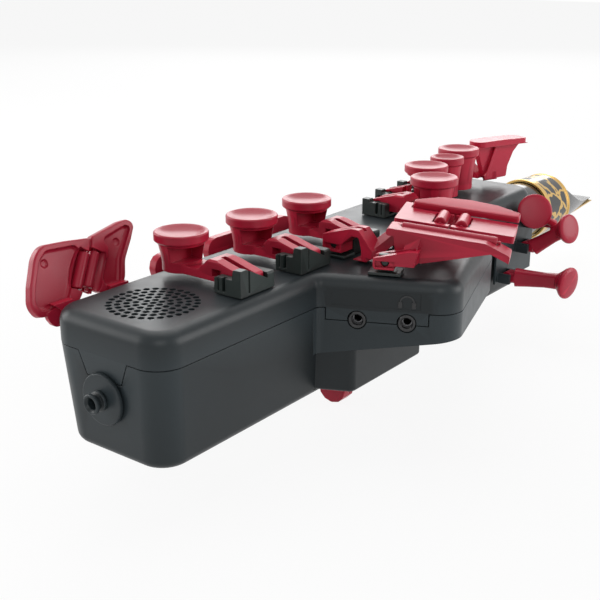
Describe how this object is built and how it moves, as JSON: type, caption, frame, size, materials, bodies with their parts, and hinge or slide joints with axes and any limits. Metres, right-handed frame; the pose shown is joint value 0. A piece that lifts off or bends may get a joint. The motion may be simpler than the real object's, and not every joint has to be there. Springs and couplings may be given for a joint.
{
  "type": "digital wind controller",
  "caption": "Electronic wind instrument with a long flat body, hinged finger keys, a little-finger table with rollers, palm keys and a reed mouthpiece.",
  "frame": {"origin": "on the flat underside of the body, midway across it, 60 mm from the foot end", "axes": "+Y along the body from the foot to the mouthpiece, +Z out of the key side, +X towards the wing that carries the little-finger table"},
  "size_m": [0.1172, 0.3651, 0.0837],
  "materials": {
    "body_plastic": "satin charcoal, fine moulded grain",
    "key_plastic": "crimson, satin, fine moulded grain",
    "bracket_plastic": "near-black green, satin",
    "mouthpiece_plastic": "polished black",
    "socket_plastic": "black, semi gloss",
    "ligature_brass": "gold lacquer with dark patches",
    "screw_steel": "plain steel",
    "cane": "pale cane, unvarnished",
    "cork": "natural cork",
    "circuit_board": "green solder mask",
    "cell_case": "metal foil",
    "speaker_rubber": "matt black"
  },
  "bodies": {
    "body": {"top_shell": "body_plastic", "bottom_shell": "body_plastic", "case_screw_1": "screw_steel", "case_screw_2": "screw_steel", "case_screw_3": "screw_steel", "case_screw_4": "screw_steel", "outlet_flange": "body_plastic", "outlet_nipple": "body_plastic", "speaker": "speaker_rubber", "main_board": "circuit_board", "battery": "cell_case", "jack_line": "socket_plastic", "jack_phones": "socket_plastic", "rh_bracket_1": "bracket_plastic", "rh_bracket_2": "bracket_plastic", "rh_bracket_3": "bracket_plastic", "lh_bracket_g": "bracket_plastic", "lh_bracket_a": "bracket_plastic", "lh_bracket_bis": "bracket_plastic", "lh_bracket_b": "bracket_plastic", "rh_pinky_bracket": "bracket_plastic", "side_bracket": "bracket_plastic", "table_bracket_gsharp": "bracket_plastic", "table_bracket_csharp": "bracket_plastic", "table_bracket_b": "bracket_plastic", "table_bracket_bflat": "bracket_plastic", "lh_bracket_f": "bracket_plastic", "palm_bracket": "bracket_plastic", "thumb_hook": "key_plastic", "neck_collar": "body_plastic", "neck_cork": "cork"},
    "mouthpiece": {"mouthpiece": "mouthpiece_plastic", "reed": "cane", "ligature": "ligature_brass"},
    "rh_key_1": {"rh_key_1": "key_plastic"},
    "rh_key_2": {"rh_key_2": "key_plastic"},
    "rh_key_3": {"rh_key_3": "key_plastic"},
    "lh_key_g": {"lh_key_g": "key_plastic"},
    "lh_key_a": {"lh_key_a": "key_plastic"},
    "lh_key_bis": {"lh_key_bis": "key_plastic"},
    "lh_key_b": {"lh_key_b": "key_plastic"},
    "lh_key_f": {"lh_key_f": "key_plastic"},
    "table_key_gsharp": {"table_key_gsharp": "key_plastic"},
    "table_key_csharp": {"table_key_csharp": "key_plastic"},
    "table_key_b": {"table_key_b": "key_plastic"},
    "table_key_bflat": {"table_key_bflat": "key_plastic"},
    "rh_pinky_c": {"rh_pinky_c": "key_plastic"},
    "rh_pinky_eb": {"rh_pinky_eb": "key_plastic"},
    "side_key_bb": {"side_key_bb": "key_plastic"},
    "side_key_c": {"side_key_c": "key_plastic"},
    "side_key_e": {"side_key_e": "key_plastic"},
    "palm_key_d": {"palm_key_d": "key_plastic"},
    "palm_key_eb": {"palm_key_eb": "key_plastic"},
    "palm_key_f": {"palm_key_f": "key_plastic"},
    "octave_key": {"octave_key": "key_plastic"},
    "rh_roller_c": {"rh_roller_c": "key_plastic"},
    "rh_roller_eb": {"rh_roller_eb": "key_plastic"},
    "table_roller_csharp": {"table_roller_csharp": "key_plastic"},
    "table_roller_b": {"table_roller_b": "key_plastic"},
    "table_roller_bflat": {"table_roller_bflat": "key_plastic"}
  },
  "joints": [
    {"name": "rh_key_1_press", "type": "hinge", "parent": "body", "child": "rh_key_1", "pos_m": [0.0145, -0.0115, 0.0485], "axis": [0, -1, 0], "range_deg": [0, 3], "stiffness_Nm_per_rad": 0.1, "springref_deg": -5.73},
    {"name": "rh_key_2_press", "type": "hinge", "parent": "body", "child": "rh_key_2", "pos_m": [0.0145, 0.0195, 0.0485], "axis": [0, -1, 0], "range_deg": [0, 3], "stiffness_Nm_per_rad": 0.1, "springref_deg": -5.73},
    {"name": "rh_key_3_press", "type": "hinge", "parent": "body", "child": "rh_key_3", "pos_m": [0.0145, 0.0505, 0.0485], "axis": [0, -1, 0], "range_deg": [0, 3], "stiffness_Nm_per_rad": 0.1, "springref_deg": -5.73},
    {"name": "lh_key_g_press", "type": "hinge", "parent": "body", "child": "lh_key_g", "pos_m": [-0.0045, 0.1001, 0.0485], "axis": [0, 1, 0], "range_deg": [0, 3], "stiffness_Nm_per_rad": 0.08, "springref_deg": -5.73},
    {"name": "lh_key_a_press", "type": "hinge", "parent": "body", "child": "lh_key_a", "pos_m": [-0.0095, 0.116, 0.0485], "axis": [0, 1, 0], "range_deg": [0, 3], "stiffness_Nm_per_rad": 0.08, "springref_deg": -5.73},
    {"name": "lh_key_bis_press", "type": "hinge", "parent": "body", "child": "lh_key_bis", "pos_m": [-0.0105, 0.1344, 0.0485], "axis": [0, 1, 0], "range_deg": [0, 3], "stiffness_Nm_per_rad": 0.05, "springref_deg": -5.73},
    {"name": "lh_key_b_press", "type": "hinge", "parent": "body", "child": "lh_key_b", "pos_m": [-0.0135, 0.1513, 0.0485], "axis": [0, 1, 0], "range_deg": [0, 3], "stiffness_Nm_per_rad": 0.08, "springref_deg": -5.73},
    {"name": "lh_key_f_press", "type": "hinge", "parent": "body", "child": "lh_key_f", "pos_m": [-0.014, 0.17, 0.0485], "axis": [0, 1, 0], "range_deg": [0, 3], "stiffness_Nm_per_rad": 0.1, "springref_deg": -5.73},
    {"name": "table_key_gsharp_press", "type": "hinge", "parent": "body", "child": "table_key_gsharp", "pos_m": [0.024, 0.077, 0.0485], "axis": [0, 1, 0], "range_deg": [0, 3], "stiffness_Nm_per_rad": 0.15, "springref_deg": -6.88},
    {"name": "table_key_csharp_press", "type": "hinge", "parent": "body", "child": "table_key_csharp", "pos_m": [0.0155, 0.0381, 0.0485], "axis": [0, 1, 0], "range_deg": [0, 2.5], "stiffness_Nm_per_rad": 0.15, "springref_deg": -6.88},
    {"name": "table_key_b_press", "type": "hinge", "parent": "body", "child": "table_key_b", "pos_m": [0.0295, 0.0575, 0.0485], "axis": [-0.3697, 0.9291, 0], "range_deg": [0, 3], "stiffness_Nm_per_rad": 0.15, "springref_deg": -6.88},
    {"name": "table_key_bflat_press", "type": "hinge", "parent": "body", "child": "table_key_bflat", "pos_m": [0.041, 0.0305, 0.0485], "axis": [-0.3697, 0.9291, 0], "range_deg": [0, 3], "stiffness_Nm_per_rad": 0.15, "springref_deg": -6.88},
    {"name": "rh_pinky_c_press", "type": "hinge", "parent": "body", "child": "rh_pinky_c", "pos_m": [-0.0288, -0.0375, 0.0292], "axis": [0, 1, 0], "range_deg": [0, 5], "stiffness_Nm_per_rad": 0.05, "springref_deg": -5.73},
    {"name": "rh_pinky_eb_press", "type": "hinge", "parent": "body", "child": "rh_pinky_eb", "pos_m": [-0.0288, -0.023, 0.0292], "axis": [0, 1, 0], "range_deg": [0, 5], "stiffness_Nm_per_rad": 0.05, "springref_deg": -5.73},
    {"name": "side_key_bb_press", "type": "hinge", "parent": "body", "child": "side_key_bb", "pos_m": [-0.0288, 0.003, 0.0317], "axis": [0, 1, 0], "range_deg": [0, 4], "stiffness_Nm_per_rad": 0.015, "springref_deg": -5.73},
    {"name": "side_key_c_press", "type": "hinge", "parent": "body", "child": "side_key_c", "pos_m": [-0.0288, 0.0305, 0.0317], "axis": [0, 1, 0], "range_deg": [0, 4], "stiffness_Nm_per_rad": 0.015, "springref_deg": -5.73},
    {"name": "side_key_e_press", "type": "hinge", "parent": "body", "child": "side_key_e", "pos_m": [-0.0288, 0.058, 0.0317], "axis": [0, 1, 0], "range_deg": [0, 4], "stiffness_Nm_per_rad": 0.015, "springref_deg": -5.73},
    {"name": "palm_key_d_press", "type": "hinge", "parent": "body", "child": "palm_key_d", "pos_m": [0.0288, 0.1752, 0.0301], "axis": [0, -1, 0], "range_deg": [0, 4], "stiffness_Nm_per_rad": 0.03, "springref_deg": -5.73},
    {"name": "palm_key_eb_press", "type": "hinge", "parent": "body", "child": "palm_key_eb", "pos_m": [0.0288, 0.1686, 0.02], "axis": [0, 1, 0], "range_deg": [0, 4], "stiffness_Nm_per_rad": 0.04, "springref_deg": -5.73},
    {"name": "palm_key_f_press", "type": "hinge", "parent": "body", "child": "palm_key_f", "pos_m": [0.0288, 0.152, 0.0098], "axis": [0, 1, 0], "range_deg": [0, 4], "stiffness_Nm_per_rad": 0.04, "springref_deg": -5.73},
    {"name": "octave_key_press", "type": "hinge", "parent": "body", "child": "octave_key", "pos_m": [0, 0.164, -0.0045], "axis": [-1, 0, 0], "range_deg": [0, 4], "stiffness_Nm_per_rad": 0.03, "springref_deg": -5.73},
    {"name": "rh_roller_c_spin", "type": "hinge", "parent": "rh_pinky_c", "child": "rh_roller_c", "pos_m": [-0.03458, -0.03676, 0.04739], "axis": [-0.2312, 0.5446, 0.8062], "continuous": true},
    {"name": "rh_roller_eb_spin", "type": "hinge", "parent": "rh_pinky_eb", "child": "rh_roller_eb", "pos_m": [-0.03437, -0.0325, 0.04668], "axis": [-0.2312, 0.5446, 0.8062], "continuous": true},
    {"name": "table_roller_csharp_spin", "type": "hinge", "parent": "table_key_csharp", "child": "table_roller_csharp", "pos_m": [0.0453, 0.05964, 0.05734], "axis": [-0.3697, 0.9291, 0], "continuous": true},
    {"name": "table_roller_b_spin", "type": "hinge", "parent": "table_key_b", "child": "table_roller_b", "pos_m": [0.05215, 0.06236, 0.05665], "axis": [-0.3697, 0.9291, 0], "continuous": true},
    {"name": "table_roller_bflat_spin", "type": "hinge", "parent": "table_key_bflat", "child": "table_roller_bflat", "pos_m": [0.05559, 0.0463, 0.0564], "axis": [0.925, 0.3681, -0.0941], "continuous": true},
    {"name": "mouthpiece_tuning", "type": "slide", "parent": "body", "child": "mouthpiece", "axis": [0, 0.9987, -0.0506], "range_m": [0, 0.012]}
  ]
}
